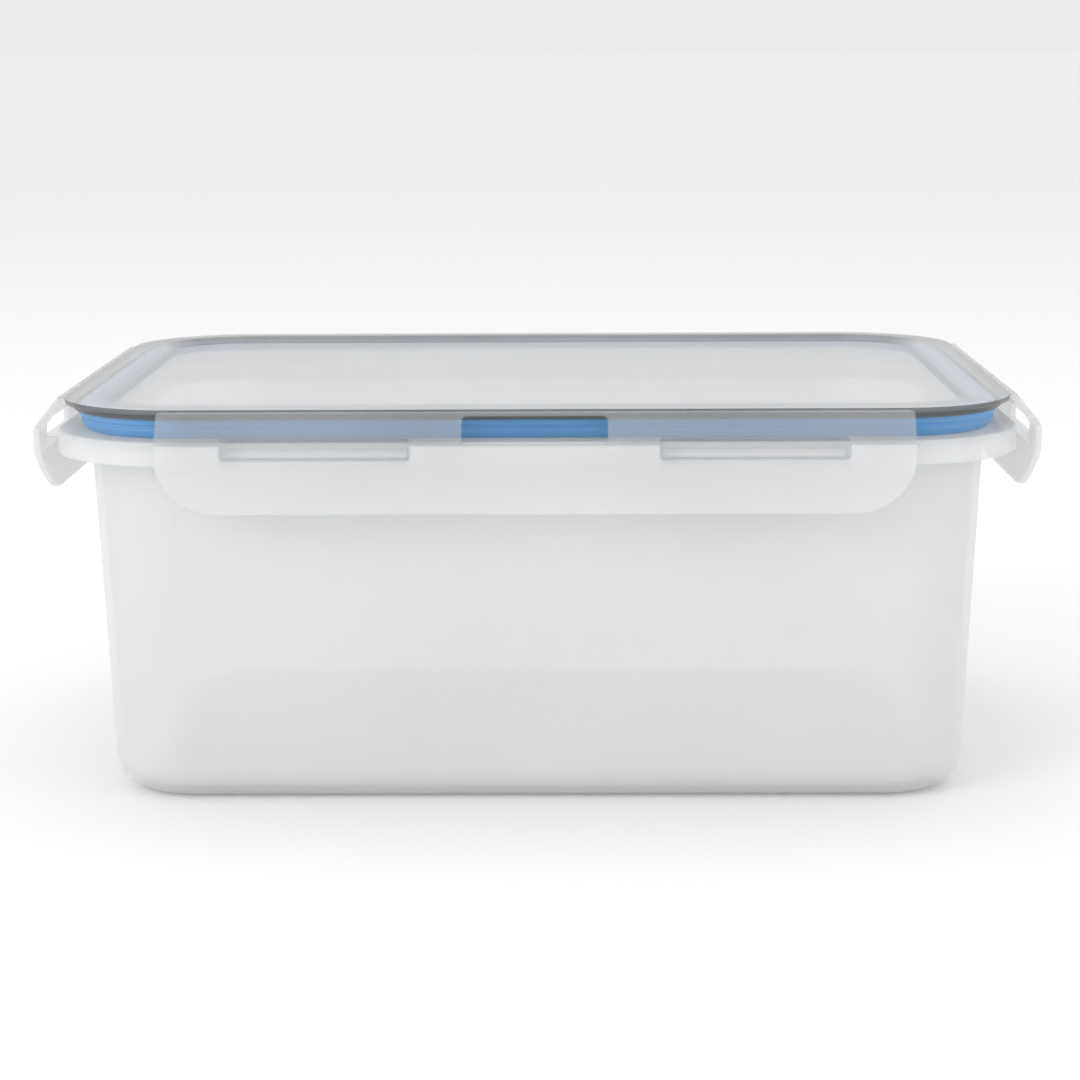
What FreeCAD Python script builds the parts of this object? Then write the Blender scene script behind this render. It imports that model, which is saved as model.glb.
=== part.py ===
"""Snap lid food container: an open box, a lid with a seal ring, and four latch flaps.

Frame: +Z up, X along the long side, -Y is the front. The origin is on the base plane,
under the middle of the box. All sizes are in millimetres.

Each side of the container has a local section that is the same all round: "out" is the
distance outwards from the box's outer wall line at the rim, and "z" is the height above
the base plane. The flaps and the hinge films are drawn in that section and placed on
their side afterwards.
"""
import FreeCAD, Part
import math
import os

import Sketcher

doc = FreeCAD.newDocument("snap_lid_container")

# ---------------------------------------------------------------- driving dimensions
SIZES = [
    # the box
    ("body_length", 218.0, "outer wall line at the rim, left to right"),
    ("body_width", 156.0, "outer wall line at the rim, front to back"),
    ("rim_height", 90.2, "top of the box's flange"),
    ("draft_inset", 4.2, "how far each wall leans in from rim to base"),
    ("corner_round", 24.2, "outer corner radius at the rim"),
    ("wall", 1.8, "thickness of the box's walls"),
    ("floor_thickness", 2.0, "thickness of the box's floor"),
    ("base_fillet", 9.0, "outer radius between wall and base"),
    ("flange_reach", 8.0, "how far the flange stands out of the wall line"),
    ("flange_thickness", 2.0, "thickness of the flange"),
    ("lip_thickness", 1.6, "thickness of the lip turned down round the flange"),
    ("lip_bottom", 84.4, "lower edge of the lip"),
    ("foot_groove_inset", 14.0, "outer edge of the groove inside the foot ring"),
    ("foot_groove_width", 3.0, "width of that groove"),
    ("foot_groove_round", 10.0, "outer corner radius of that groove"),
    ("foot_groove_depth", 0.7, "depth of that groove"),
    # the catch ribs on the lip, and the slots of the flaps that go over them
    ("rib_reach", 1.3, "how far a catch rib stands out of the lip"),
    ("rib_bottom", 86.6, "lower face of the catch ribs"),
    ("rib_thickness", 2.0, "height of a catch rib"),
    ("long_slot_start", 29.0, "near end of a slot in a long flap, from its middle"),
    ("long_slot_end", 73.3, "far end of a slot in a long flap"),
    ("short_slot_start", 18.0, "near end of a slot in a short flap"),
    ("short_slot_end", 48.0, "far end of a slot in a short flap"),
    ("rib_end_gap", 0.8, "how much shorter a rib is than its slot, at each end"),
    # the lid
    ("overall_height", 98.0, "top of the lid's rim"),
    ("lid_edge", 6.1, "how far out the lid's rim reaches"),
    ("lid_rim_thickness", 1.6, "thickness of the lid's rim"),
    ("lid_panel_thickness", 1.6, "thickness of the sunk panel"),
    ("recess_depth", 1.8, "depth of the sunk panel below the rim"),
    ("recess_top_inset", 1.5, "inner edge of the rim, inwards of the wall line"),
    ("recess_taper", 45.0, "slope of the step down to the panel, in degrees"),
    ("skirt_outer", 2.4, "outer face of the plug skirt, inwards of the wall line"),
    ("skirt_thickness", 1.6, "thickness of the plug skirt"),
    ("skirt_bottom", 85.8, "lower edge of the plug skirt"),
    ("keeper_inner", 2.7, "inner face of the rib that keeps the seal ring"),
    ("keeper_thickness", 1.2, "thickness of that rib"),
    ("keeper_bottom", 94.9, "lower edge of that rib"),
    ("gate_diameter", 7.0, "moulding gate dimple in the middle of the lid"),
    ("gate_depth", 0.3, "depth of that dimple"),
    # the seal ring
    ("seal_inner", 2.3, "inner face of the seal ring, inwards of the wall line"),
    ("seal_outer", 2.6, "outer face of the seal ring, outwards of the wall line"),
    ("seal_top", 96.35, "top of the seal ring"),
    ("seal_bottom", 90.3, "tip of its sealing lip, just above the flange"),
    ("seal_waist", 93.1, "height of the groove round the seal ring"),
    ("seal_groove", 0.9, "depth of that groove"),
    # the living hinges
    ("hinge_out", 7.0, "hinge line, outwards of the wall line"),
    ("hinge_height", 97.2, "height of the hinge line"),
    ("hinge_groove", 0.7, "radius of the groove under the film, about the hinge line"),
    ("film_thickness", 0.4, "thickness of the hinge film"),
    ("film_gap", 0.05, "clearance between a film and the root of its flap"),
    ("film_end_gap", 1.0, "how much shorter a film is than its flap, at each end"),
    # the latch flaps
    ("flap_out", 13.8, "outer face of a closed flap"),
    ("flap_wall", 1.5, "thickness of a flap"),
    ("bend_height", 89.9, "height of the outer bend between web and wall"),
    ("inner_bend_height", 89.4, "height of the inner bend"),
    ("lean_height", 83.5, "height below which the flap leans in"),
    ("tip_out", 11.3, "outer face of the flap's tip"),
    ("tip_inner", 9.6, "inner face of the flap's tip"),
    ("tip_height", 73.4, "lower edge of a flap"),
    ("bend_round", 3.0, "outer radius of the bend"),
    ("inner_bend_round", 1.6, "inner radius of the bend"),
    ("lean_round", 6.0, "radius where the flap starts to lean"),
    ("tip_round", 0.7, "radius of the tip's edges"),
    ("long_flap_half", 88.5, "half the length of the front and rear flaps"),
    ("short_flap_half", 58.0, "half the length of the left and right flaps"),
    ("long_window_half", 17.0, "half the window in the web of a long flap"),
    ("short_window_half", 12.0, "half the window in the web of a short flap"),
    ("window_start", 8.3, "upper edge of the window, outwards of the wall line"),
    ("window_bottom", 90.5, "lower edge of the window"),
    ("slot_bottom", 86.45, "lower edge of the slots, which is the catch ledge's top"),
    ("slot_top", 92.0, "upper edge of the slots, just above the bend"),
    ("ledge_out", 9.55, "inner tip of the catch ledge on a closed flap"),
    ("ledge_thickness", 1.1, "height of the catch ledge at its tip"),
    ("ledge_root", 83.6, "height where the ledge's underside meets the flap"),
    ("flap_corner", 14.0, "radius of a flap's lower corners"),
    ("edge_round", 0.5, "small radius on moulded edges"),
]

sheet = doc.addObject("Spreadsheet::Sheet", "dim")
for row, (alias, size, note) in enumerate(SIZES, start=1):
    sheet.set(f"A{row}", alias)
    sheet.set(f"B{row}", str(size))
    sheet.set(f"C{row}", note)
    sheet.setAlias(f"B{row}", alias)
doc.recompute()

# expressions that several sub-parts share
HALF_X = "dim.body_length / 2"
HALF_Y = "dim.body_width / 2"
DRAFT = "atan(dim.draft_inset / dim.rim_height)"
FLANGE_BOTTOM = "dim.rim_height - dim.flange_thickness"
LIP_INNER = "dim.flange_reach - dim.lip_thickness"
HOLLOW_DEPTH = "dim.rim_height - dim.floor_thickness"
LID_RIM_BOTTOM = "dim.overall_height - dim.lid_rim_thickness"
PANEL_TOP = "dim.overall_height - dim.recess_depth"
PANEL_BOTTOM = f"({PANEL_TOP} - dim.lid_panel_thickness)"
SKIRT_INNER = "-dim.skirt_outer - dim.skirt_thickness"
BEYOND_FLAP = "dim.flap_out + 1"

SMALLEST_CUT = 1.0  # mm3 that every pocket must remove
ON_EDGE = 0.01  # mm within which a point counts as on an edge


# ---------------------------------------------------------------- drawing helpers
def value(expression):
    """The present value of an expression over the sheet."""
    return float(sheet.evalExpression(expression))


def new_body(label):
    body = doc.addObject("PartDesign::Body", label)
    body.Label = label
    return body


def origin_plane(body, role):
    return next(plane for plane in body.Origin.OriginFeatures if plane.Role == role)


def new_sketch(body, name, role="XY_Plane", offset=None):
    """An empty sketch on one of the body's own origin planes, moved along its normal."""
    sketch = body.newObject("Sketcher::SketchObject", name)
    sketch.AttachmentSupport = [(origin_plane(body, role), "")]
    sketch.MapMode = "FlatFace"
    if offset:
        sketch.setExpression("AttachmentOffset.Base.z", offset)
    return sketch


def bind(sketch, kind, ends, expression):
    """A dimension between two sketch points, or of one curve, held by an expression."""
    number = sketch.addConstraint(Sketcher.Constraint(kind, *ends, value(expression)))
    sketch.setExpression(f"Constraints[{number}]", expression)


def place_point(sketch, curve, end, across, up):
    """Hold one end of a curve at a place measured from the sketch's origin."""
    bind(sketch, "DistanceX", (-1, 1, curve, end), across)
    bind(sketch, "DistanceY", (-1, 1, curve, end), up)


def join(sketch, curve, end, other, other_end, kind="Coincident"):
    sketch.addConstraint(Sketcher.Constraint(kind, curve, end, other, other_end))


def draw_polygon(sketch, points):
    """A closed polygon. Each corner is a pair of expressions measured from the origin."""
    corners = [FreeCAD.Vector(value(across), value(up), 0) for across, up in points]
    first = sketch.GeometryCount
    for k, corner in enumerate(corners):
        sketch.addGeometry(Part.LineSegment(corner, corners[(k + 1) % len(corners)]))
    for k, point in enumerate(points):
        join(sketch, first + k, 2, first + (k + 1) % len(points), 1)
        place_point(sketch, first + k, 1, *point)


def draw_rectangle(sketch, left, right, low, high):
    draw_polygon(sketch, [(left, low), (right, low), (right, high), (left, high)])


def draw_circle(sketch, across, up, radius):
    centre = FreeCAD.Vector(value(across), value(up), 0)
    circle = Part.Circle(centre, FreeCAD.Vector(0, 0, 1), value(radius))
    number = sketch.addGeometry(circle)
    place_point(sketch, number, 3, across, up)
    bind(sketch, "Radius", (number,), radius)


def draw_rounded(sketch, out, radius=None):
    """A rounded rectangle that follows the box's wall line, moved outwards by out."""
    half_x, half_y = f"{HALF_X} + ({out})", f"{HALF_Y} + ({out})"
    radius = radius or f"dim.corner_round + ({out})"
    x, y, r = value(half_x), value(half_y), value(radius)
    # anticlockwise from the corner at +X +Y: a corner arc, then the side after it
    centres = [(x - r, y - r), (r - x, y - r), (r - x, r - y), (x - r, r - y)]
    starts = [(x - r, y), (-x, y - r), (r - x, -y), (x, r - y)]
    ends = [(r - x, y), (-x, r - y), (x - r, -y), (x, y - r)]
    arcs, sides = [], []
    for k in range(4):
        circle = Part.Circle(FreeCAD.Vector(*centres[k], 0), FreeCAD.Vector(0, 0, 1), r)
        arc = Part.ArcOfCircle(circle, k * math.pi / 2, (k + 1) * math.pi / 2)
        side = Part.LineSegment(FreeCAD.Vector(*starts[k], 0), FreeCAD.Vector(*ends[k], 0))
        arcs.append(sketch.addGeometry(arc))
        sides.append(sketch.addGeometry(side))
    for k in range(4):
        join(sketch, arcs[k], 2, sides[k], 1, kind="Tangent")
        join(sketch, sides[k], 2, arcs[(k + 1) % 4], 1, kind="Tangent")
        sketch.addConstraint(Sketcher.Constraint("Vertical" if k % 2 else "Horizontal", sides[k]))
    for arc in arcs[1:]:
        sketch.addConstraint(Sketcher.Constraint("Equal", arcs[0], arc))
    bind(sketch, "Radius", (arcs[0],), radius)
    bind(sketch, "DistanceY", (-1, 1, sides[0], 1), half_y)
    bind(sketch, "DistanceX", (sides[1], 1, -1, 1), half_x)
    bind(sketch, "DistanceY", (sides[2], 1, -1, 1), half_y)
    bind(sketch, "DistanceX", (-1, 1, sides[3], 1), half_x)


def draw_ring(sketch, inner, outer):
    """The band between two rounded rectangles, both measured outwards of the wall line."""
    draw_rounded(sketch, inner)
    draw_rounded(sketch, outer)


# ---------------------------------------------------------------- feature helpers
def add_feature(sketch, kind, name, length, taper=None, both_sides=False, reverse=False):
    """A Pad or a Pocket of a sketch, with its length held by an expression."""
    feature = sketch.getParentGeoFeatureGroup().newObject(f"PartDesign::{kind}", name)
    feature.Profile = sketch
    feature.setExpression("Length", length)
    feature.SideType = "Symmetric" if both_sides else "One side"
    feature.Reversed = reverse
    if taper:
        feature.setExpression("TaperAngle", taper)
    doc.recompute()
    return feature


def pad(sketch, length, name, **how):
    return add_feature(sketch, "Pad", name, length, **how)


def pocket(sketch, length, name, **how):
    """Cut away a prism and make sure that it did remove material."""
    body = sketch.getParentGeoFeatureGroup()
    before = body.Shape.Volume
    feature = add_feature(sketch, "Pocket", name, length, **how)
    if feature.Shape.Volume > before - SMALLEST_CUT:
        raise RuntimeError(f"{name} of {body.Label} cuts nothing")
    return feature


def edges_through(feature, points):
    """Names of the feature's edges that pass through the given points."""
    names = []
    for point in points:
        probe = Part.Vertex(FreeCAD.Vector(*point))
        found = [
            f"Edge{number}"
            for number, edge in enumerate(feature.Shape.Edges, start=1)
            if edge.distToShape(probe)[0] < ON_EDGE
        ]
        if not found:
            raise RuntimeError(f"no edge of {feature.Label} passes through {point}")
        names += found
    return sorted(set(names))


def dress(feature, kind, points, size, name):
    """A Fillet or a Chamfer on the edges through the points and those tangent to them."""
    dressed = feature.getParentGeoFeatureGroup().newObject(f"PartDesign::{kind}", name)
    dressed.Base = (feature, edges_through(feature, points))
    dressed.setExpression("Radius" if kind == "Fillet" else "Size", size)
    doc.recompute()
    return dressed


def mirror(feature, role, name):
    """Repeat a feature on the other side of one of the body's origin planes."""
    body = feature.getParentGeoFeatureGroup()
    copy = body.newObject("PartDesign::Mirrored", name)
    copy.Originals = [feature]
    copy.MirrorPlane = (origin_plane(body, role), [""])
    body.Tip = copy
    doc.recompute()
    return copy


def front_point(out, height):
    """A point of the front side's middle section."""
    return 0, -value(f"{HALF_Y} + ({out})"), value(height)


# ---------------------------------------------------------------- the box
def make_container_body():
    """Tapered shell with a flange, a turned-down lip and eight catch ribs."""
    body = new_body("container_body")

    base = new_sketch(body, "base_outline")
    draw_rounded(base, "-dim.draft_inset")
    pad(base, "dim.rim_height", "shell", taper=DRAFT)

    flange_outline = new_sketch(body, "flange_outline", offset=FLANGE_BOTTOM)
    draw_rounded(flange_outline, "dim.flange_reach")
    pad(flange_outline, "dim.flange_thickness", "flange")

    lip_outline = new_sketch(body, "lip_outline", offset="dim.lip_bottom")
    draw_ring(lip_outline, LIP_INNER, "dim.flange_reach")
    lip = pad(lip_outline, f"{FLANGE_BOTTOM} - dim.lip_bottom", "lip")
    rim_edges = [front_point("dim.flange_reach", level) for level in ("dim.rim_height", "dim.lip_bottom")]
    dress(lip, "Fillet", rim_edges, "dim.edge_round", "rim_edge")

    mouth = new_sketch(body, "mouth_outline", offset="dim.rim_height")
    draw_rounded(mouth, "-dim.wall")
    hollow = pocket(mouth, HOLLOW_DEPTH, "hollow", taper=f"-{DRAFT}")
    floor_line = f"-dim.wall - dim.draft_inset * ({HOLLOW_DEPTH}) / dim.rim_height"
    floor_edge = [front_point(floor_line, "dim.floor_thickness")]
    inside = dress(hollow, "Fillet", floor_edge, "dim.base_fillet - dim.wall", "floor_edge")
    mouth_edge = [front_point("-dim.wall", "dim.rim_height")]
    inside = dress(inside, "Fillet", mouth_edge, "dim.edge_round", "mouth_edge")
    dress(inside, "Fillet", [front_point("-dim.draft_inset", "0")], "dim.base_fillet", "base_edge")

    foot_groove = new_sketch(body, "foot_groove_outline")
    groove_outer = "-dim.draft_inset - dim.foot_groove_inset"
    groove_inner = f"{groove_outer} - dim.foot_groove_width"
    draw_rounded(foot_groove, groove_outer, radius="dim.foot_groove_round")
    draw_rounded(foot_groove, groove_inner, radius="dim.foot_groove_round - dim.foot_groove_width")
    pocket(foot_groove, "dim.foot_groove_depth", "foot_groove", reverse=True)

    add_catch_ribs(body)
    return body


def add_catch_ribs(body):
    """Two catch ribs on each side of the lip, with a slope on top for the flap to ride over."""
    outlines = new_sketch(body, "rib_outlines", offset="dim.rib_bottom")
    top = value("dim.rib_bottom + dim.rib_thickness")
    top_edges = []
    for length_name, wall_line, along_x in (("long", HALF_Y, True), ("short", HALF_X, False)):
        start = f"(dim.{length_name}_slot_start + dim.rib_end_gap)"
        end = f"(dim.{length_name}_slot_end - dim.rib_end_gap)"
        root = f"({wall_line} + dim.flange_reach - dim.lip_thickness / 2)"
        tip = f"({wall_line} + dim.flange_reach + dim.rib_reach)"
        middle = value(f"({start} + {end}) / 2")
        for side in (1, -1):
            for half in (1, -1):
                run = (f"{half} * {start}", f"{half} * {end}")
                reach = (f"{side} * {root}", f"{side} * {tip}")
                draw_rectangle(outlines, *(run + reach if along_x else reach + run))
                along, out = half * middle, side * value(tip)
                top_edges.append((along, out, top) if along_x else (out, along, top))
    ribs = pad(outlines, "dim.rib_thickness", "catch_ribs")
    dress(ribs, "Chamfer", top_edges, "dim.rib_thickness / 2", "rib_slopes")


# ---------------------------------------------------------------- the lid
def make_lid_panel():
    """Flat rim, sunk panel, plug skirt inside the box and a rib that keeps the seal ring."""
    body = new_body("lid_panel")

    rim = new_sketch(body, "rim_outline", offset=LID_RIM_BOTTOM)
    draw_rounded(rim, "dim.lid_edge")
    pad(rim, "dim.lid_rim_thickness", "rim")

    panel = new_sketch(body, "panel_outline", offset=PANEL_BOTTOM)
    draw_rounded(panel, "-dim.skirt_outer")
    pad(panel, f"({LID_RIM_BOTTOM}) - ({PANEL_BOTTOM})", "panel")

    skirt_outline = new_sketch(body, "skirt_outline", offset="dim.skirt_bottom")
    draw_ring(skirt_outline, SKIRT_INNER, "-dim.skirt_outer")
    skirt = pad(skirt_outline, f"{PANEL_BOTTOM} - dim.skirt_bottom", "plug_skirt")
    skirt_edges = [front_point(face, "dim.skirt_bottom") for face in (SKIRT_INNER, "-dim.skirt_outer")]
    dress(skirt, "Fillet", skirt_edges, "dim.edge_round", "skirt_edges")

    keeper = new_sketch(body, "keeper_outline", offset="dim.keeper_bottom")
    draw_ring(keeper, "dim.keeper_inner", "dim.keeper_inner + dim.keeper_thickness")
    pad(keeper, f"{LID_RIM_BOTTOM} - dim.keeper_bottom", "seal_keeper")

    recess_outline = new_sketch(body, "recess_outline", offset="dim.overall_height")
    draw_rounded(recess_outline, "-dim.recess_top_inset")
    recess = pocket(recess_outline, "dim.recess_depth", "recess", taper="-dim.recess_taper")
    step_foot = "-dim.recess_top_inset - dim.recess_depth * tan(dim.recess_taper)"
    step_edges = [
        front_point("dim.lid_edge", "dim.overall_height"),
        front_point("-dim.recess_top_inset", "dim.overall_height"),
        front_point(step_foot, PANEL_TOP),
    ]
    dress(recess, "Fillet", step_edges, "dim.edge_round", "rim_edges")

    gate = new_sketch(body, "gate_outline", offset=PANEL_TOP)
    draw_circle(gate, "0", "0", "dim.gate_diameter / 2")
    pocket(gate, "dim.gate_depth", "gate_dimple")
    return body


# ---------------------------------------------------------------- the seal ring
def make_gasket_seal():
    """Soft ring swept round the wall line, with a groove and a tapered sealing lip."""
    body = new_body("gasket_seal")
    path = new_sketch(body, "seal_path", offset="dim.seal_bottom")
    draw_rounded(path, "0")

    section = new_sketch(body, "seal_section", "YZ_Plane")
    middle = "(dim.seal_outer - dim.seal_inner) / 2"
    waist_low = "dim.seal_waist - dim.seal_groove"
    corners = [
        ("-dim.seal_inner", "dim.seal_top"),
        ("dim.seal_outer", "dim.seal_top"),
        ("dim.seal_outer", "dim.seal_waist + dim.seal_groove / 2"),
        ("dim.seal_outer - dim.seal_groove", "dim.seal_waist"),
        ("dim.seal_outer - dim.seal_groove / 4", waist_low),
        (f"{middle} + dim.seal_groove", "dim.seal_bottom"),
        (f"{middle} - dim.seal_groove / 2", "dim.seal_bottom"),
        ("-dim.seal_inner + dim.seal_groove", waist_low),
        ("-dim.seal_inner", "dim.seal_waist"),
    ]
    draw_polygon(section, [(f"{HALF_Y} + ({out})", height) for out, height in corners])

    ring = body.newObject("PartDesign::AdditivePipe", "seal_ring")
    ring.Profile = section
    ring.Spine = (path, [f"Edge{number}" for number in range(1, len(path.Geometry) + 1)])
    doc.recompute()
    return body


# ---------------------------------------------------------------- flaps and hinge films
def place_on_side(body, side):
    """Turn a piece drawn for the +Y side to its own side and move it to the wall line."""
    turn, axis, wall_line = {
        "front": (180, "y", f"-{HALF_Y}"),
        "rear": (0, "y", HALF_Y),
        "left": (90, "x", f"-{HALF_X}"),
        "right": (-90, "x", HALF_X),
    }[side]
    body.Placement = FreeCAD.Placement(
        FreeCAD.Vector(), FreeCAD.Rotation(FreeCAD.Vector(0, 0, 1), turn)
    )
    body.setExpression(f"Placement.Base.{axis}", wall_line)
    doc.recompute()


def make_flap(side):
    """Latch flap: a web with a window, a wall with two slots, and a catch ledge under each."""
    size = "long" if side in ("front", "rear") else "short"
    half, window = f"dim.{size}_flap_half", f"dim.{size}_window_half"
    slot_start, slot_end = f"dim.{size}_slot_start", f"dim.{size}_slot_end"
    body = new_body(f"{side}_flap")

    section = new_sketch(body, "flap_section", "YZ_Plane")
    wall_inner = "dim.flap_out - dim.flap_wall"
    film_top = "dim.hinge_height + dim.film_thickness / 2"
    root_low = "dim.hinge_height - dim.hinge_groove"
    corners = [
        ("dim.hinge_out + dim.hinge_groove / 2", film_top),
        ("dim.hinge_out + dim.hinge_groove", film_top),
        ("dim.flap_out", "dim.bend_height"),
        ("dim.flap_out", "dim.lean_height"),
        ("dim.tip_out", "dim.tip_height"),
        ("dim.tip_inner", "dim.tip_height"),
        (wall_inner, "dim.lean_height"),
        (wall_inner, "dim.inner_bend_height"),
        ("dim.hinge_out + dim.hinge_groove / 2", root_low),
    ]
    draw_polygon(section, corners)
    blank = pad(section, f"2 * {half}", "flap_blank", both_sides=True)

    def along_flap(*names):
        return [(0, value(out), value(height)) for out, height in names]

    bends = dress(blank, "Fillet", along_flap(corners[2]), "dim.bend_round", "outer_bend")
    bends = dress(bends, "Fillet", along_flap(corners[7]), "dim.inner_bend_round", "inner_bend")
    bends = dress(bends, "Fillet", along_flap(corners[3], corners[6]), "dim.lean_round", "lean_bends")
    dress(bends, "Fillet", along_flap(corners[4], corners[5]), "dim.tip_round", "tip_edges")

    hinge_groove = new_sketch(body, "hinge_groove_outline", "YZ_Plane")
    draw_circle(hinge_groove, "dim.hinge_out", "dim.hinge_height", "dim.hinge_groove")
    pocket(hinge_groove, f"2 * {half} + 2", "hinge_groove", both_sides=True)

    corner_cut = new_sketch(body, "corner_outline", "XZ_Plane")
    draw_corner_cut(corner_cut, half)
    mirror(pocket(corner_cut, BEYOND_FLAP, "corner_cut"), "YZ_Plane", "corner_cuts")

    window_outline = new_sketch(body, "window_outline", offset="dim.overall_height")
    draw_rectangle(window_outline, f"-{window}", window, "dim.window_start", BEYOND_FLAP)
    pocket(window_outline, "dim.overall_height - dim.window_bottom", "window")

    slot_outline = new_sketch(body, "slot_outline", "XZ_Plane")
    draw_rectangle(slot_outline, slot_start, slot_end, "dim.slot_bottom", "dim.slot_top")
    mirror(pocket(slot_outline, BEYOND_FLAP, "slot"), "YZ_Plane", "slots")

    ledge_section = new_sketch(body, "ledge_section", "YZ_Plane", offset=slot_start)
    ledge_root_out = f"{wall_inner} + dim.flap_wall / 4"
    ledge_corners = [
        (ledge_root_out, "dim.slot_bottom"),
        ("dim.ledge_out", "dim.slot_bottom"),
        ("dim.ledge_out", "dim.slot_bottom - dim.ledge_thickness"),
        (ledge_root_out, "dim.ledge_root"),
    ]
    draw_polygon(ledge_section, ledge_corners)
    mirror(pad(ledge_section, f"{slot_end} - {slot_start}", "catch_ledge"), "YZ_Plane", "catch_ledges")

    place_on_side(body, side)
    return body


def draw_corner_cut(sketch, half):
    """What a flap's rounded lower corner leaves out, reaching a little past the blank."""
    radius, low = "dim.flap_corner", "dim.tip_height"
    across = [f"{half} - {radius}", half, f"{half} + 1"]
    levels = [f"{low} - 1", low, f"{low} + {radius}"]
    points = [
        (across[0], levels[1]),
        (across[0], levels[0]),
        (across[2], levels[0]),
        (across[2], levels[2]),
        (across[1], levels[2]),
    ]
    corners = [FreeCAD.Vector(value(x), value(z), 0) for x, z in points]
    sides = [
        sketch.addGeometry(Part.LineSegment(corner, after))
        for corner, after in zip(corners, corners[1:])
    ]
    centre = FreeCAD.Vector(value(across[0]), value(levels[2]), 0)
    circle = Part.Circle(centre, FreeCAD.Vector(0, 0, 1), value(radius))
    arc = sketch.addGeometry(Part.ArcOfCircle(circle, -math.pi / 2, 0))
    for side, point in zip(sides, points):
        place_point(sketch, side, 1, *point)
    place_point(sketch, sides[-1], 2, *points[-1])
    for side, after in zip(sides, sides[1:]):
        join(sketch, side, 2, after, 1)
    join(sketch, sides[0], 1, arc, 1)
    join(sketch, sides[-1], 2, arc, 2)
    bind(sketch, "Radius", (arc,), radius)


def make_hinge_film(side):
    """The thin strip that joins the lid's rim to a flap and bends along the hinge line."""
    size = "long" if side in ("front", "rear") else "short"
    body = new_body(f"{side}_hinge_film")
    section = new_sketch(body, "film_section", "YZ_Plane")
    half_film = "dim.film_thickness / 2"
    draw_rectangle(
        section,
        "dim.lid_edge",
        "dim.hinge_out + dim.hinge_groove - dim.film_gap",
        f"dim.hinge_height - {half_film}",
        f"dim.hinge_height + {half_film}",
    )
    pad(section, f"2 * (dim.{size}_flap_half - dim.film_end_gap)", "film", both_sides=True)
    place_on_side(body, side)
    return body


# ---------------------------------------------------------------- build, check and write
SIDES = ("front", "rear", "left", "right")
sub_parts = [make_container_body(), make_lid_panel(), make_gasket_seal()]
sub_parts += [make_flap(side) for side in SIDES]
sub_parts += [make_hinge_film(side) for side in SIDES]
doc.recompute()

for item in doc.Objects:
    if {"Invalid", "Error"} & set(item.State):
        raise RuntimeError(f"{item.Label} failed: {item.State}")
for part in sub_parts:
    if part.Shape.isNull() or not part.Shape.isValid() or len(part.Shape.Solids) != 1:
        raise RuntimeError(f"{part.Label} is not one valid solid")

os.makedirs("parts", exist_ok=True)
for part in sub_parts:
    part.Shape.exportStep(os.path.join("parts", f"{part.Label}.step"))
    box = part.Shape.BoundBox
    print(f"{part.Label}: {part.Shape.Volume:.0f} mm3, {box.XLength:.1f} x {box.YLength:.1f} x {box.ZLength:.1f}")
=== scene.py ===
import math

import bmesh
import bpy
from mathutils import Matrix, Vector


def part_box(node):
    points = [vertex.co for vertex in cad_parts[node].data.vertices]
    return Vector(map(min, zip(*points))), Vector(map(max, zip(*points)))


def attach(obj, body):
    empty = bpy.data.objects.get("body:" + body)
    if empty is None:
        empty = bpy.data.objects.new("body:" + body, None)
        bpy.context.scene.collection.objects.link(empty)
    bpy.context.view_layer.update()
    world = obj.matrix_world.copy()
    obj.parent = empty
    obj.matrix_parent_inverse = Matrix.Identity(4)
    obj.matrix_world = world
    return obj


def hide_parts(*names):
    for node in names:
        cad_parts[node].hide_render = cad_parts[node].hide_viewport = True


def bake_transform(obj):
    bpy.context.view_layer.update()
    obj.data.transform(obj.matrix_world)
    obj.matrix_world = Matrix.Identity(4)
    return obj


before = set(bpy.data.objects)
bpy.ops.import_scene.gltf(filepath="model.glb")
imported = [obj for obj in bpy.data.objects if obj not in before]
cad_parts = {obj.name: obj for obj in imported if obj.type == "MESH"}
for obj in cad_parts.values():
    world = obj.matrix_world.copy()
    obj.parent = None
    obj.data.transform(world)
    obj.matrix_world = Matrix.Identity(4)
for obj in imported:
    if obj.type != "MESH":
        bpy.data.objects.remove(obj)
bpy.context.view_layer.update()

# ---------------------------------------------------------------- sizes
# All sizes are in millimetres and are turned into metres only when a mesh is made.
# "out" is the distance outwards of the box's outer wall line at the rim, and "z" is the
# height above the floor, so that one section is good for all four sides.
MM = 0.001


def cad_mm(node):
    """Lowest and highest corner of a CAD node, in millimetres."""
    return tuple(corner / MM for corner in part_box(node))


_, BODY_HIGH = cad_mm("container_body")
LID_LOW, LID_HIGH = cad_mm("lid_panel")
SEAL_LOW, SEAL_HIGH = cad_mm("gasket_seal")
FLAP_LOW, FLAP_HIGH = cad_mm("front_flap")
FILM_LOW, FILM_HIGH = cad_mm("front_hinge_film")

# The box: lid edge and wall line, then the wall, the flange with its lip, and the ribs.
LID_EDGE = 6.1
HALF_X, HALF_Y = LID_HIGH.x - LID_EDGE, LID_HIGH.y - LID_EDGE
CORNER = 24.2
RIM = BODY_HIGH.z
DRAFT = 4.2
WALL = 1.8
FLOOR = 2.0
BASE_ROUND = 9.0
FLANGE = 8.0
FLANGE_THICK = 2.0
LIP_THICK = 1.6
LIP_BOTTOM = RIM - 5.8
RIB_OUT = BODY_HIGH.y - HALF_Y
RIB_LOW = RIM - 3.6
RIB_THICK = 2.0
RIB_CHAMFER, RIB_BITE = 1.0, 0.8
EDGE, BAR_EDGE = 0.5, 0.25

# The underside: the groove's inset, width, depth and slope, and the gate mark in the middle.
FOOT_GROOVE = (14.0, 3.0, 0.7, 0.3)
GATE_RADIUS, GATE_DEPTH, GATE_SLOPE = 3.5, 0.3, 0.3
CAP_RADII = (GATE_RADIUS, GATE_RADIUS - 0.5)

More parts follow.
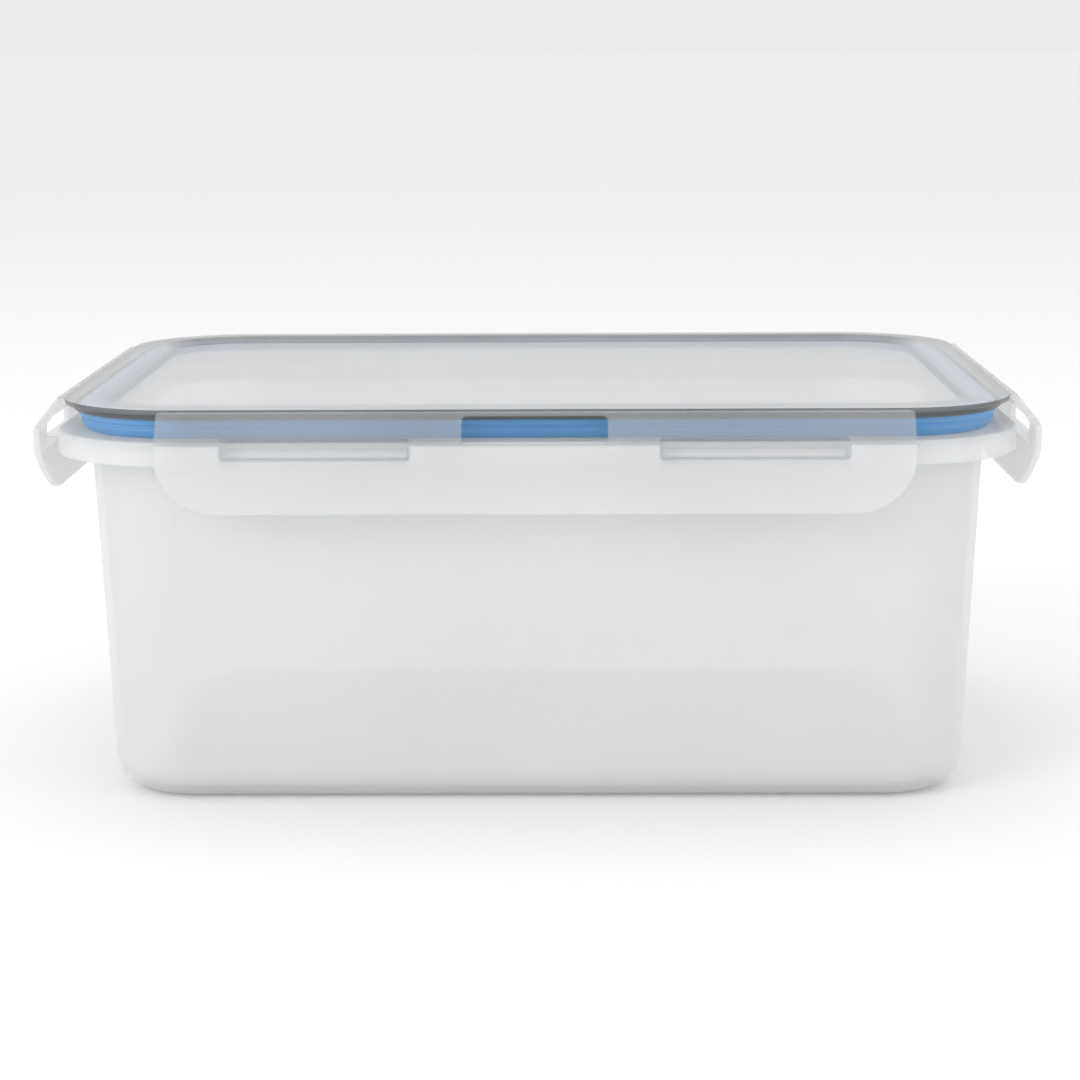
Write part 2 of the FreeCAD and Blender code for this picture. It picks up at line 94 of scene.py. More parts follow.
# The lid: its rim, the sunk panel, the skirt inside the box and the lip that keeps the seal.
LID_TOP = LID_HIGH.z
LID_RIM_THICK = 1.6
LID_RIM_BOTTOM = LID_TOP - LID_RIM_THICK
RECESS = 1.8
RECESS_INSET = 1.5
PANEL_THICK = 1.6
PANEL_TOP = LID_TOP - RECESS
PANEL_BOTTOM = PANEL_TOP - PANEL_THICK
SKIRT_OUT, SKIRT_THICK = 2.4, 1.6
SKIRT_BOTTOM = LID_LOW.z
KEEPER_IN, KEEPER_THICK, KEEPER_BOTTOM = 2.7, 1.2, LID_TOP - 3.1
PANEL_INNER = -20.0

# The seal ring: its outer and inner faces, the height of its waist, and its narrow foot.
SEAL_OUT, SEAL_IN = 2.6, -2.3
SEAL_WAIST = SEAL_LOW.z + 2.8
SEAL_FOOT = (-0.3, 1.05)
SEAL_GROOVE, SEAL_BEAD, SEAL_TAPER = 0.9, 0.45, 0.22

# The flaps: hinge line, root, bends of the section, openings and catch ledges.
HINGE_Z = (FILM_LOW.z + FILM_HIGH.z) / 2
ROOT_OUT = 7.7
FLAP_OUT = -FLAP_LOW.y - HALF_Y
FLAP_TOP, FLAP_TIP = FLAP_HIGH.z, FLAP_LOW.z
WALL_THICK, ROOT_THICK, TIP_THICK = 1.5, 0.84, 1.62
FLAT, FLAP_EDGE = 1.5, 0.35
BEND_Z, LEAN_Z, TIP_OUT = HINGE_Z - 7.3, HINGE_Z - 13.7, FLAP_OUT - 2.5
BEND_ROUND, LEAN_ROUND = 3.0, 6.0
ROOT_CORNER, FLAP_CORNER, HOLE_CORNER = 0.8, 14.0, 1.2
WINDOW_START, WINDOW_Z = 8.3, RIM + 0.3
SLOT_LOW, SLOT_HIGH = RIM - 3.75, RIM + 1.8
LEDGE_OUT, LEDGE_THICK, LEDGE_ROOT, LEDGE_BITE = 9.55, 1.1, RIM - 6.6, 0.4
LONG = {"half": FLAP_HIGH.x, "window": 17.0, "slots": (29.0, 73.3)}
SHORT = {"half": cad_mm("left_flap")[1].y, "window": 12.0, "slots": (18.0, 48.0)}
RIB_GAP = 0.8

# The hinge films: the upper face dips and the lower face rises midway. They reach a little into
# the lid and the flap; the hold values give points a little inside their ends, which are not
# used.
FILM_THICK, FILM_DIP, FILM_RISE = 0.4, 0.06, 0.18
FILM_INSET = 1.0
LID_LAP, FLAP_LAP = 0.05, 0.02
LID_HOLD, FLAP_HOLD = 0.2, 0.15

SIDES = ("front", "rear", "left", "right")


# ---------------------------------------------------------------- materials
CLOUD_SCALE, GRAIN_SCALE, RUBBER_SCALE = 22, 2600, 60
ROUGH_SPREAD = 0.06
GRAIN_HEIGHT = 0.00006
PLASTIC_IOR, RUBBER_IOR = 1.49, 1.41


def new_material(name):
    """An empty node material, with its nodes and links."""
    material = bpy.data.materials.new(name)
    material.use_nodes = True
    return material, material.node_tree.nodes, material.node_tree.links


def frosted(name, alpha, light, dark, rough, bump):
    """See-through satin plastic: faint clouding in its colour and a fine grain."""
    m, nodes, links = new_material(name)
    shader = nodes["Principled BSDF"]
    shader.inputs["IOR"].default_value = PLASTIC_IOR
    shader.inputs["Alpha"].default_value = alpha
    coords = nodes.new("ShaderNodeTexCoord")
    cloud = nodes.new("ShaderNodeTexNoise")
    cloud.inputs["Scale"].default_value = CLOUD_SCALE
    cloud.inputs["Detail"].default_value = 3
    links.new(coords.outputs["Object"], cloud.inputs["Vector"])
    ramp = nodes.new("ShaderNodeValToRGB")
    ramp.color_ramp.elements[0].position = 0.3
    ramp.color_ramp.elements[1].position = 0.7
    ramp.color_ramp.elements[0].color = (*dark, 1)
    ramp.color_ramp.elements[1].color = (*light, 1)
    links.new(cloud.outputs["Fac"], ramp.inputs["Fac"])
    links.new(ramp.outputs["Color"], shader.inputs["Base Color"])
    grain = nodes.new("ShaderNodeTexNoise")
    grain.inputs["Scale"].default_value = GRAIN_SCALE
    grain.inputs["Detail"].default_value = 2
    links.new(coords.outputs["Object"], grain.inputs["Vector"])
    spread = nodes.new("ShaderNodeMapRange")
    spread.inputs["To Min"].default_value = rough - ROUGH_SPREAD
    spread.inputs["To Max"].default_value = rough + ROUGH_SPREAD
    links.new(cloud.outputs["Fac"], spread.inputs["Value"])
    links.new(spread.outputs["Result"], shader.inputs["Roughness"])
    bumps = nodes.new("ShaderNodeBump")
    bumps.inputs["Strength"].default_value = bump
    bumps.inputs["Distance"].default_value = GRAIN_HEIGHT
    links.new(grain.outputs["Fac"], bumps.inputs["Height"])
    links.new(bumps.outputs["Normal"], shader.inputs["Normal"])
    return m


def silicone(name):
    """Soft matte rubber with a slow drift in its blue."""
    m, nodes, links = new_material(name)
    shader = nodes["Principled BSDF"]
    shader.inputs["IOR"].default_value = RUBBER_IOR
    coords = nodes.new("ShaderNodeTexCoord")
    cloud = nodes.new("ShaderNodeTexNoise")
    cloud.inputs["Scale"].default_value = RUBBER_SCALE
    links.new(coords.outputs["Object"], cloud.inputs["Vector"])
    ramp = nodes.new("ShaderNodeValToRGB")
    ramp.color_ramp.elements[0].color = (0.12, 0.33, 0.62, 1)
    ramp.color_ramp.elements[1].color = (0.17, 0.41, 0.74, 1)
    links.new(cloud.outputs["Fac"], ramp.inputs["Fac"])
    links.new(ramp.outputs["Color"], shader.inputs["Base Color"])
    shader.inputs["Roughness"].default_value = 0.5
    shader.inputs["Sheen Weight"].default_value = 0.15
    return m


def fade_painted_shade_at_ends(material, tone, start, end):
    """Fades the step's painted shade out along the short sides: the given pale tone where |y| is
    under start, the painted shade past end.
    """
    nodes, links = material.node_tree.nodes, material.node_tree.links
    coords = nodes.new("ShaderNodeTexCoord")
    split = nodes.new("ShaderNodeSeparateXYZ")
    links.new(coords.outputs["Object"], split.inputs["Vector"])
    across = nodes.new("ShaderNodeMath")
    across.operation = "ABSOLUTE"
    links.new(split.outputs["Y"], across.inputs[0])
    share = nodes.new("ShaderNodeMapRange")
    share.inputs["From Min"].default_value = start * MM
    share.inputs["From Max"].default_value = end * MM
    links.new(across.outputs["Value"], share.inputs["Value"])
    mix = nodes.new("ShaderNodeMix")
    mix.data_type = "RGBA"
    mix.inputs["A"].default_value = (*tone, 1)
    shader = nodes["Principled BSDF"]
    colour = shader.inputs["Base Color"].links[0].from_socket
    links.new(share.outputs["Result"], mix.inputs["Factor"])
    links.new(colour, mix.inputs["B"])
    links.new(mix.outputs["Result"], shader.inputs["Base Color"])


BOX_PLASTIC = frosted("frosted_box", 0.52, (0.86, 0.87, 0.88), (0.83, 0.84, 0.85), 0.42, 0.4)
LID_PLASTIC = frosted("frosted_lid", 0.46, (0.83, 0.84, 0.85), (0.80, 0.81, 0.82), 0.40, 0.4)
# Painted shade: the lid's step is coloured dark grey to stand in for the shadow line along its
# far slope, and is faded to a paler grey along the short sides.
STEP_PAINTED_SHADE = frosted("lid_step_painted_shade", 0.60, (0.36, 0.37, 0.39), (0.32, 0.33, 0.35), 0.30, 0.2)
STEP_SHADE_FADE = (56, 70)
fade_painted_shade_at_ends(STEP_PAINTED_SHADE, (0.72, 0.73, 0.74), *STEP_SHADE_FADE)
# Painted shade: the rim's upright edge and the keeper lip are coloured near black to stand in for
# the shadowed gap under the lid's edge.
RIM_EDGE_PAINTED_SHADE = frosted("rim_edge_painted_shade", 0.82, (0.15, 0.155, 0.16), (0.12, 0.125, 0.13), 0.25, 0.1)
# Painted shade: the hinge web and films are coloured mid grey, darker than the flap, to stand in
# for the shadowed gap seen through them, and the bend gets half of it. Their low alpha is the
# plastic's real clearness.
WEB_PAINTED_SHADE = frosted("clear_web_painted_shade", 0.26, (0.55, 0.56, 0.57), (0.49, 0.50, 0.51), 0.28, 0.15)
BEND_HALF_PAINTED_SHADE = frosted("clear_bend_half_painted_shade", 0.30, (0.72, 0.73, 0.75), (0.67, 0.68, 0.70), 0.32, 0.2)
FLAP_PLASTIC = frosted("frosted_flap", 0.42, (0.82, 0.83, 0.84), (0.78, 0.79, 0.80), 0.38, 0.4)
SEAL_RUBBER = silicone("blue_silicone")
FLAP_PLASTICS = (WEB_PAINTED_SHADE, BEND_HALF_PAINTED_SHADE, FLAP_PLASTIC)


def dress(obj, *materials):
    """Adds materials to a piece's own slots, in order."""
    for material in materials:
        obj.data.materials.append(material)


# ---------------------------------------------------------------- mesh helpers
def link(obj):
    """Puts an object in the scene."""
    bpy.context.scene.collection.objects.link(obj)
    return obj


def finish_mesh(obj, sharp=35):
    """Smooth faces with crisp creases, and normals that keep the flat faces flat."""
    mesh = obj.data
    mesh.polygons.foreach_set("use_smooth", [True] * len(mesh.polygons))
    mesh.set_sharp_from_angle(angle=math.radians(sharp))
    weighted = obj.modifiers.new("flat_faces", "WEIGHTED_NORMAL")
    weighted.keep_sharp = True
    return obj


def mesh_object(name, verts, faces, slots=None):
    """An object from corners in millimetres, with a material slot for each face."""
    mesh = bpy.data.meshes.new(name)
    mesh.from_pydata([tuple(c * MM for c in v) for v in verts], [], faces)
    if slots:
        mesh.polygons.foreach_set("material_index", slots)
    mesh.update()
    return link(bpy.data.objects.new(name, mesh))


def solid_of(obj):
    """The object's mesh with its modifiers applied, as the object's own mesh."""
    graph = bpy.context.evaluated_depsgraph_get()
    made = bpy.data.meshes.new_from_object(obj.evaluated_get(graph))
    obj.modifiers.clear()
    obj.data = made
    return obj


def combine(obj, other, operation):
    """Joins or cuts the object with another, which is used up."""
    cut = obj.modifiers.new("combine", "BOOLEAN")
    cut.operation, cut.solver, cut.object = operation, "EXACT", other
    solid_of(obj)
    bpy.data.objects.remove(other)


def close_mesh(mesh, edge=0.0):
    """Turns every face outwards and, if asked, eases the edges."""
    solid = bmesh.new()
    solid.from_mesh(mesh)
    bmesh.ops.recalc_face_normals(solid, faces=solid.faces)
    if edge:
        bmesh.ops.bevel(solid, geom=solid.edges, offset=edge * MM, segments=2, profile=0.5,
                        affect="EDGES")
    solid.to_mesh(mesh)
    solid.free()


def rounded(points, steps=5):
    """A polyline whose corners are replaced by arcs. Each point is (a, b, radius)."""
    line = []
    count = len(points)
    for k, (a, b, radius) in enumerate(points):
        here = Vector((a, b))
        before = Vector(points[k - 1][:2]) - here
        after = Vector(points[(k + 1) % count][:2]) - here
        if not radius:
            line.append((a, b))
            continue
        before.normalize()
        after.normalize()
        half = before.angle(after) / 2
        reach = radius / math.tan(half)
        start, end = here + before * reach, here + after * reach
        centre = here + (before + after).normalized() * (radius / math.sin(half))
        first, last = start - centre, end - centre
        turn = first.angle_signed(last)
        for step in range(steps + 1):
            spoke = Matrix.Rotation(-turn * step / steps, 2) @ first
            line.append(tuple(centre + spoke))
    return line


CORNER_STEPS = 14
LONG_STEPS, SHORT_STEPS = 16, 10


def stations():
    """Anticlockwise places round the wall line: a centre and the way outwards from it."""
    x, y = HALF_X - CORNER, HALF_Y - CORNER
    centres = [(x, y), (-x, y), (-x, -y), (x, -y)]
    found = []
    for k, centre in enumerate(centres):
        for step in range(CORNER_STEPS + 1):
            turn = math.radians(90 * (k + step / CORNER_STEPS))
            found.append((Vector(centre), Vector((math.cos(turn), math.sin(turn)))))
        after = Vector(centres[(k + 1) % 4])
        outwards = found[-1][1]
        steps = SHORT_STEPS if k % 2 else LONG_STEPS
        for step in range(1, steps):
            found.append((Vector(centre).lerp(after, step / steps), outwards))
    return found


STATIONS = stations()


def ring_at(out, z):
    """The wall line moved outwards, at one height."""
    return [(*(centre + outwards * (CORNER + out)), z) for centre, outwards in STATIONS]


def circle_at(radius, z):
    """A ring with the same number of points, drawn in to a small circle in the middle."""
    ring = []
    for x, y, _ in ring_at(0, z):
        spoke = Vector((x, y)).normalized() * radius
        ring.append((spoke.x, spoke.y, z))
    return ring


def ring_loft(name, section, start_cap=(), end_cap=(), slot_of=None):
    """A section swept round the wall line. Caps are rings of (radius, z) that close it."""
    rings = [circle_at(*cap) for cap in reversed(start_cap)]
    rings += [ring_at(out, z) for out, z in section]
    rings += [circle_at(*cap) for cap in end_cap]
    around = len(STATIONS)
    verts = [point for ring in rings for point in ring]
    faces, slots = [], []
    closed = not start_cap
    pairs = len(rings) if closed else len(rings) - 1
    for k in range(pairs):
        low, high = k * around, (k + 1) % len(rings) * around
        middle = None
        if slot_of:
            a, b = rings[k][0], rings[(k + 1) % len(rings)][0]
            middle = ((a[0] + b[0]) / 2 - HALF_X, (a[2] + b[2]) / 2)
        for j in range(around):
            after = (j + 1) % around
            faces.append((low + j, low + after, high + after, high + j))
            slots.append(slot_of(*middle) if slot_of else 0)
    if not closed:
        faces.append(tuple(reversed(range(around))))
        faces.append(tuple(range(len(verts) - around, len(verts))))
        slots += [0, 0]
    return mesh_object(name, verts, faces, slots)


def prism(name, outline, start, end, place, materials=(), slot=0):
    """A closed bar with eased edges: an outline of (out, z) drawn along a side."""
    verts = [place(along, out, z) for along in (start, end) for out, z in outline]
    count = len(outline)
    faces = [tuple(reversed(range(count))), tuple(range(count, 2 * count))]
    faces += [(k, (k + 1) % count, (k + 1) % count + count, k + count) for k in range(count)]
    obj = mesh_object(name, verts, faces, [slot] * len(faces))
    dress(obj, *materials)
    close_mesh(obj.data, BAR_EDGE)
    return obj


def placer(side):
    """Turns (along, out, z) of a side's section into the frame's own axes."""
    turn = {"rear": 0, "left": 90, "front": 180, "right": 270}[side]
    wall_line = HALF_Y if side in ("front", "rear") else HALF_X
    spin = Matrix.Rotation(math.radians(turn), 2)

    def place(along, out, z):
        x, y = spin @ Vector((along, wall_line + out))
        return x, y, z

    return place


# ---------------------------------------------------------------- the box
def make_box():
    """The container: a ring swept from the underside round to the floor, with its ribs."""
    wall_top = -DRAFT * FLANGE_THICK / RIM
    groove_inset, groove_width, groove_depth, groove_slope = FOOT_GROOVE
    groove_out = -DRAFT - groove_inset
    groove_in = groove_out - groove_width
    outside = [
        (groove_in, 0, 0),
        (groove_in + groove_slope, groove_depth, 0),
        (groove_out - groove_slope, groove_depth, 0),
        (groove_out, 0, 0),
        (-DRAFT, 0, BASE_ROUND),
        (wall_top, RIM - FLANGE_THICK, 1.0),
        (FLANGE - LIP_THICK, RIM - FLANGE_THICK, 0.8),
        (FLANGE - LIP_THICK, LIP_BOTTOM, 0.4),
        (FLANGE, LIP_BOTTOM, EDGE),
        (FLANGE, RIM, 0.8),
        (-WALL, RIM, EDGE),
        (-WALL - DRAFT * (RIM - FLOOR) / RIM, FLOOR, BASE_ROUND - WALL),
        (groove_in, FLOOR, 0),
    ]
    gate_mark = [(GATE_RADIUS, 0), (GATE_RADIUS - GATE_SLOPE, GATE_DEPTH)]
    middle = [(radius, FLOOR) for radius in CAP_RADII]
    box = ring_loft("box_shell", rounded(outside), gate_mark, middle)
    root, rib_top = FLANGE - RIB_BITE, RIB_LOW + RIB_THICK
    rib = [(root, RIB_LOW), (RIB_OUT, RIB_LOW), (RIB_OUT, RIB_LOW + RIB_THICK / 2),
           (RIB_OUT - RIB_CHAMFER, rib_top), (root, rib_top)]
    for side in SIDES:
        start, end = (LONG if side in ("front", "rear") else SHORT)["slots"]
        for sign in (-1, 1):
            ends = sorted((sign * (start + RIB_GAP), sign * (end - RIB_GAP)))
            combine(box, prism("rib", rib, *ends, placer(side)), "UNION")
    return finish_mesh(box)


def make_lid():
    """The lid without its flaps: sunk panel, step, rim, keeper lip and skirt."""
    skirt_in = -SKIRT_OUT - SKIRT_THICK
    recess_foot = -RECESS_INSET - RECESS
    section = [
        (PANEL_INNER, PANEL_BOTTOM, 0),
        (skirt_in, PANEL_BOTTOM, 0.6),
        (skirt_in, SKIRT_BOTTOM, EDGE),
        (-SKIRT_OUT, SKIRT_BOTTOM, EDGE),
        (-SKIRT_OUT, LID_RIM_BOTTOM, 0.4),
        (KEEPER_IN, LID_RIM_BOTTOM, 0.3),
        (KEEPER_IN, KEEPER_BOTTOM, 0.3),
        (KEEPER_IN + KEEPER_THICK, KEEPER_BOTTOM, 0.3),
        (KEEPER_IN + KEEPER_THICK, LID_RIM_BOTTOM, 0.3),
        (LID_EDGE, LID_RIM_BOTTOM, 0.3),
        (LID_EDGE, LID_TOP, 0.5),
        (-RECESS_INSET, LID_TOP, 0.6),
        (recess_foot, PANEL_TOP, 0.8),
        (PANEL_INNER, PANEL_TOP, 0),
    ]

    def slot_of(out, z):
        """Material slot: 1 for the rim's upright edge and the keeper, painted near black as
        shade, 2 for the step, painted darker as shade, else 0.
        """
        upright = out > LID_EDGE - 0.3 and z < LID_TOP - 0.3
        keeper = out > KEEPER_IN - 0.1 and z < LID_RIM_BOTTOM + 0.1
        if upright or keeper:
            return 1
        on_step = recess_foot - 0.3 < out < -RECESS_INSET + 0.1 and z > PANEL_TOP - 0.1
        return 2 if on_step else 0

    below, above = ([(radius, z) for radius in CAP_RADII] for z in (PANEL_BOTTOM, PANEL_TOP))
    lid = ring_loft("lid_shell", rounded(section), below, above, slot_of)
    return finish_mesh(lid)


def make_seal():
    """The seal ring: a square head, a groove round its outer face and a narrow foot."""
    top, low = SEAL_HIGH.z, SEAL_LOW.z
    foot_in, foot_out = SEAL_FOOT
    section = [
        (SEAL_IN, top, 0.5),
        (SEAL_IN, SEAL_WAIST, 0.5),
        (SEAL_IN + SEAL_GROOVE, SEAL_WAIST - SEAL_GROOVE, 0.5),
        (foot_in, low, 0.3),
        (foot_out, low, 0.3),
        (SEAL_OUT - SEAL_TAPER, SEAL_WAIST - SEAL_GROOVE, 0.5),
        (SEAL_OUT - SEAL_GROOVE, SEAL_WAIST, 0.35),
        (SEAL_OUT, SEAL_WAIST + SEAL_BEAD, 0.5),
        (SEAL_OUT, top, 0.5),
    ]
    return finish_mesh(ring_loft("seal_ring", rounded(section, 4)), 50)


# ---------------------------------------------------------------- flaps
ARC_STEPS = 8
RUN_CUTS, WIDTH_CUTS = 10, 12


def flap_curve():
    """Outer face of a flap's section, from its root to its tip, as (out, z) points."""
    line = rounded([
        (ROOT_OUT, FLAP_TOP, 0),
        (FLAP_OUT, BEND_Z, BEND_ROUND),
        (FLAP_OUT, LEAN_Z, LEAN_ROUND),
        (TIP_OUT, FLAP_TIP, 0),
    ], ARC_STEPS)
    return [Vector(p) for p in line]


CURVE = flap_curve()
LENGTHS = [0.0]
for a, b in zip(CURVE, CURVE[1:]):
    LENGTHS.append(LENGTHS[-1] + (b - a).length)
FLAP_RUN = LENGTHS[-1]


def along_curve(run):
    """The point and the inwards normal at a distance along the flap's outer face."""
    run = min(max(run, 0.0), FLAP_RUN)
    for k in range(len(CURVE) - 1):
        if run <= LENGTHS[k + 1] + 1e-9:
            break
    span = LENGTHS[k + 1] - LENGTHS[k]
    share = (run - LENGTHS[k]) / span
    point = CURVE[k].lerp(CURVE[k + 1], share)

    def normal(j):
        low, high = max(j - 1, 0), min(j + 1, len(CURVE) - 1)
        way = (CURVE[high] - CURVE[low]).normalized()
        return Vector((way.y, -way.x))

    inwards = normal(k).lerp(normal(k + 1), share).normalized()
    return point, inwards


def run_where(test):
    """The first distance along the flap's outer face where test(out, z) is true."""
    steps = 4000
    for k in range(steps + 1):
        point, _ = along_curve(FLAP_RUN * k / steps)
        if test(point.x, point.y):
            return FLAP_RUN * k / steps
    return FLAP_RUN


RUN_WINDOW = (run_where(lambda out, z: out > WINDOW_START),
              run_where(lambda out, z: z < WINDOW_Z))
RUN_SLOT = (run_where(lambda out, z: z < SLOT_HIGH), run_where(lambda out, z: z < SLOT_LOW))
RUN_BEND = run_where(lambda out, z: z < BEND_Z)

# The first bend's own points: the clear web, with its painted shade, ends at the third, the
# frosted wall starts two before the last, and the plastic between them is half clear, with half
# the painted shade.
BEND_STEPS = [run for run, point in zip(LENGTHS, CURVE)
              if ROOT_OUT < point.x and point.y > LEAN_Z + LEAN_ROUND][:ARC_STEPS + 1]
WEB_BORDERS = (BEND_STEPS[2], BEND_STEPS[-3])


def thickness_at(run):
    """A flap's thickness: thin at the root, full at the bend and a little more at the tip."""
    if run < RUN_BEND:
        return ROOT_THICK + (WALL_THICK - ROOT_THICK) * run / RUN_BEND
    share = max(0.0, run - RUN_BEND) / (FLAP_RUN - RUN_BEND)
    return WALL_THICK + (TIP_THICK - WALL_THICK) * share


def plate(name, outlines, thickness, edge):
    """A flat plate with holes and rounded edges, centred on z = 0."""
    curve = bpy.data.curves.new(name, "CURVE")
    curve.dimensions, curve.fill_mode = "2D", "BOTH"
    curve.extrude = (thickness / 2 - edge) * MM
    curve.bevel_depth, curve.bevel_resolution = edge * MM, 2
    curve.offset = -edge * MM
    for outline in outlines:
        spline = curve.splines.new("POLY")
        spline.points.add(len(outline) - 1)
        for point, (x, y) in zip(spline.points, outline):
            point.co = (x * MM, y * MM, 0, 1)
        spline.use_cyclic_u = True
    drawn = link(bpy.data.objects.new(name, curve))
    graph = bpy.context.evaluated_depsgraph_get()
    mesh = bpy.data.meshes.new_from_object(drawn.evaluated_get(graph))
    bpy.data.objects.remove(drawn)
    return mesh


def cut_lines(solid, axis, values):
    """Cuts a flat mesh across at each value, so that it can bend there."""
    for value in values:
        where, normal = Vector(), Vector()
        where[axis], normal[axis] = value * MM, 1
        geometry = solid.verts[:] + solid.edges[:] + solid.faces[:]
        bmesh.ops.bisect_plane(solid, geom=geometry, dist=1e-7, plane_co=where, plane_no=normal)


def make_flap(side):
    """A flap: a flat plate with its holes, bent along the section, with two catch ledges."""
    size = LONG if side in ("front", "rear") else SHORT
    half, window, (slot_start, slot_end) = size["half"], size["window"], size["slots"]
    outer = rounded([(-half, 0, ROOT_CORNER), (half, 0, ROOT_CORNER),
                     (half, FLAP_RUN, FLAP_CORNER), (-half, FLAP_RUN, FLAP_CORNER)], 14)

    def opening(x0, x1, runs):
        corners = (x0, runs[0]), (x1, runs[0]), (x1, runs[1]), (x0, runs[1])
        return rounded([(x, run, HOLE_CORNER) for x, run in corners], 5)

    holes = [
        opening(-window, window, RUN_WINDOW),
        opening(slot_start, slot_end, RUN_SLOT),
        opening(-slot_end, -slot_start, RUN_SLOT),
    ]
    mesh = plate(f"{side}_flap_shell", [outer] + holes, FLAT, FLAP_EDGE)
    solid = bmesh.new()
    solid.from_mesh(mesh)
    bmesh.ops.remove_doubles(solid, verts=solid.verts, dist=1e-7)
    runs = LENGTHS[1:-1] + [FLAP_RUN * k / RUN_CUTS for k in range(1, RUN_CUTS)]
    cut_lines(solid, 1, runs)
    cut_lines(solid, 0, [half * k / WIDTH_CUTS for k in range(1 - WIDTH_CUTS, WIDTH_CUTS)])
    bmesh.ops.remove_doubles(solid, verts=solid.verts, dist=2e-6)
    for face in solid.faces:
        run = face.calc_center_median().y / MM
        face.material_index = sum(run > border for border in WEB_BORDERS)
    place = placer(side)
    for vert in solid.verts:
        x, run, rise = (c / MM for c in vert.co)
        point, inwards = along_curve(run)
        depth = (rise / FLAT + 0.5) * thickness_at(run)
        spot = point + inwards * depth
        vert.co = Vector(place(x, spot.x, spot.y)) * MM
    bmesh.ops.recalc_face_normals(solid, faces=solid.faces)
    solid.to_mesh(mesh)
    solid.free()
    flap = link(bpy.data.objects.new(mesh.name, mesh))
    dress(flap, *FLAP_PLASTICS)
    root = FLAP_OUT - WALL_THICK + LEDGE_BITE
    ledge = [(root, SLOT_LOW), (LEDGE_OUT, SLOT_LOW), (LEDGE_OUT, SLOT_LOW - LEDGE_THICK),
             (root, LEDGE_ROOT)]
    wall_slot = len(FLAP_PLASTICS) - 1
    for sign in (-1, 1):
        ends = sorted((sign * slot_start, sign * slot_end))
        bar = prism("ledge", ledge, *ends, place, FLAP_PLASTICS, wall_slot)
        combine(flap, bar, "UNION")
    return finish_mesh(flap, 40)


def make_film(side):
    """The living hinge: a strip from the lid's edge to the flap's root, thinnest midway."""
    size = LONG if side in ("front", "rear") else SHORT
    half = size["half"] - FILM_INSET
    place = placer(side)
    start, end, steps = LID_EDGE - LID_LAP, ROOT_OUT + FLAP_LAP, 10
    top = FILM_HIGH.z
    upper, lower = [], []
    for k in range(steps + 1):
        share = k / steps
        out = start + (end - start) * share
        dip = math.sin(math.pi * share) ** 2
        upper.append((out, top - FILM_DIP * dip))
        lower.append((out, top - FILM_THICK + FILM_RISE * dip))
    outline = upper + lower[::-1]
    columns = 24
    verts, faces = [], []
    count = len(outline)
    for c in range(columns + 1):
        along = -half + 2 * half * c / columns
        verts += [place(along, out, z) for out, z in outline]
    for c in range(columns):
        for k in range(count):
            after = (k + 1) % count
            near, far = c * count, (c + 1) * count
            faces.append((near + k, near + after, far + after, far + k))
    faces.append(tuple(reversed(range(count))))
    faces.append(tuple(range(columns * count, (columns + 1) * count)))
    film = mesh_object(f"{side}_hinge_strip", verts, faces)
    close_mesh(film.data)
    return finish_mesh(film)


# ---------------------------------------------------------------- build
box = make_box()
dress(box, BOX_PLASTIC)
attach(box, "container")
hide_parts("container_body")

lid = make_lid()
dress(lid, LID_PLASTIC, RIM_EDGE_PAINTED_SHADE, STEP_PAINTED_SHADE)
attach(lid, "lid")
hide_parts("lid_panel")

seal = make_seal()
dress(seal, SEAL_RUBBER)
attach(seal, "lid")
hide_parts("gasket_seal")

for side in SIDES:
    flap = make_flap(side)
    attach(flap, f"{side}_latch")
    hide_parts(f"{side}_flap")
    film = make_film(side)
    dress(film, WEB_PAINTED_SHADE)
    place = placer(side)
    film_ends = (LID_EDGE + LID_HOLD, ROOT_OUT - FLAP_HOLD)
    start, end = (Vector(place(0, out, HINGE_Z)) * MM for out in film_ends)
    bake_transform(film)
    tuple(start)
    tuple(end)
    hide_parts(f"{side}_hinge_film")

# ---------------------------------------------------------------- floor
# It lies a hair under the base, so that the two faces are never in the same place.
FLOOR_HALF, FLOOR_DROP = 40000, -0.1

floor_paint, nodes, _ = new_material("floor")
nodes["Principled BSDF"].inputs["Base Color"].default_value = (0.92, 0.92, 0.92, 1)
nodes["Principled BSDF"].inputs["Roughness"].default_value = 0.7
corners = [(x * FLOOR_HALF, y * FLOOR_HALF, FLOOR_DROP)
           for x, y in ((-1, -1), (1, -1), (1, 1), (-1, 1))]
floor = mesh_object("floor", corners, [(0, 1, 2, 3)])
dress(floor, floor_paint)

# ---------------------------------------------------------------- camera
CAMERA_PLACE = (9.5 * MM, -720.0 * MM, 182.2 * MM)
YAW, PITCH, ROLL = -0.76, 10.3, 0.295
SENSOR, LENS = 36.0, 91.5


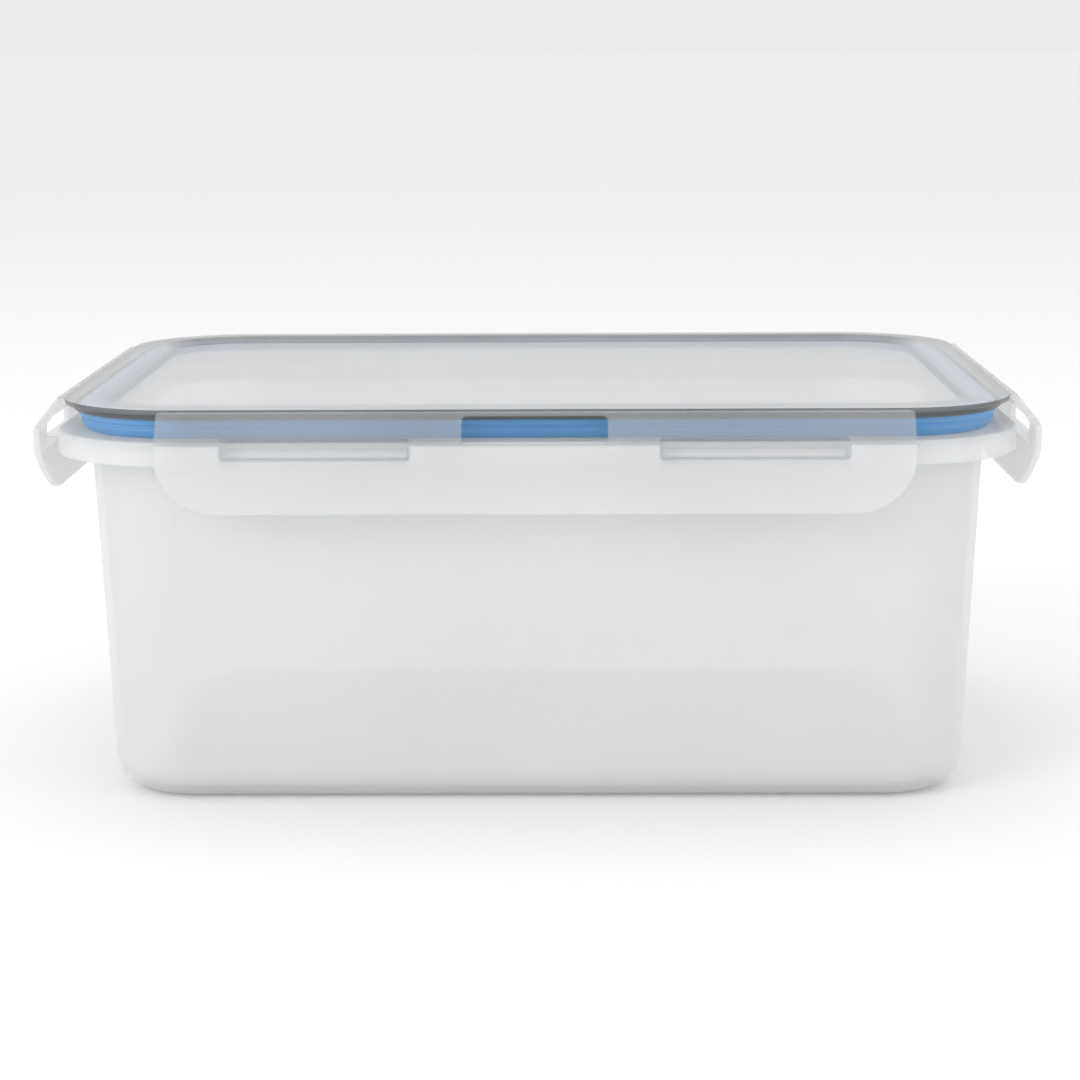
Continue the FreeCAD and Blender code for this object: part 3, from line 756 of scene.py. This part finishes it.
def add_camera():
    """The camera at the angle of the reference view."""
    data = bpy.data.cameras.new("camera")
    data.sensor_width, data.lens = SENSOR, LENS
    data.clip_end = 200.0
    camera = link(bpy.data.objects.new("camera", data))
    turn = (Matrix.Rotation(math.radians(-YAW), 4, "Z")
            @ Matrix.Rotation(math.radians(90 - PITCH), 4, "X"))
    roll = Matrix.Rotation(math.radians(-ROLL), 4, "Z")
    camera.matrix_world = Matrix.Translation(CAMERA_PLACE) @ turn @ roll
    bpy.context.scene.camera = camera


add_camera()


# ---------------------------------------------------------------- light
def add_area(name, place, size, power, target=(0, 0, 0.05)):
    """A rectangular lamp that faces the box. Places and sizes are in metres."""
    data = bpy.data.lights.new(name, "AREA")
    data.shape = "RECTANGLE"
    data.size, data.size_y = size
    data.energy = power
    lamp = link(bpy.data.objects.new(name, data))
    lamp.location = place
    lamp.rotation_euler = (Vector(target) - Vector(place)).to_track_quat("-Z", "Y").to_euler()


add_area("top_light", (0.0, 0.3, 1.5), (1.4, 0.9), 3.2)
add_area("left_light", (-1.2, -1.2, 0.9), (0.9, 0.9), 8)
add_area("right_light", (1.5, -0.6, 0.6), (0.8, 0.8), 2)


def add_sky(horizon, overhead):
    """A pale sky, a little darker low down so that it meets the far floor in one tone."""
    world = bpy.data.worlds.new("studio")
    bpy.context.scene.world = world
    world.use_nodes = True
    nodes, links = world.node_tree.nodes, world.node_tree.links
    coords = nodes.new("ShaderNodeTexCoord")
    split = nodes.new("ShaderNodeSeparateXYZ")
    height = nodes.new("ShaderNodeMapRange")
    height.interpolation_type = "SMOOTHSTEP"
    height.inputs["From Max"].default_value = 0.5
    height.inputs["To Min"].default_value = horizon
    height.inputs["To Max"].default_value = overhead
    links.new(coords.outputs["Generated"], split.inputs["Vector"])
    links.new(split.outputs["Z"], height.inputs["Value"])
    links.new(height.outputs["Result"], nodes["Background"].inputs["Strength"])
    nodes["Background"].inputs["Color"].default_value = (1.0, 1.0, 1.0, 1)


add_sky(0.84, 0.93)
bpy.context.scene.view_settings.view_transform = "Standard"
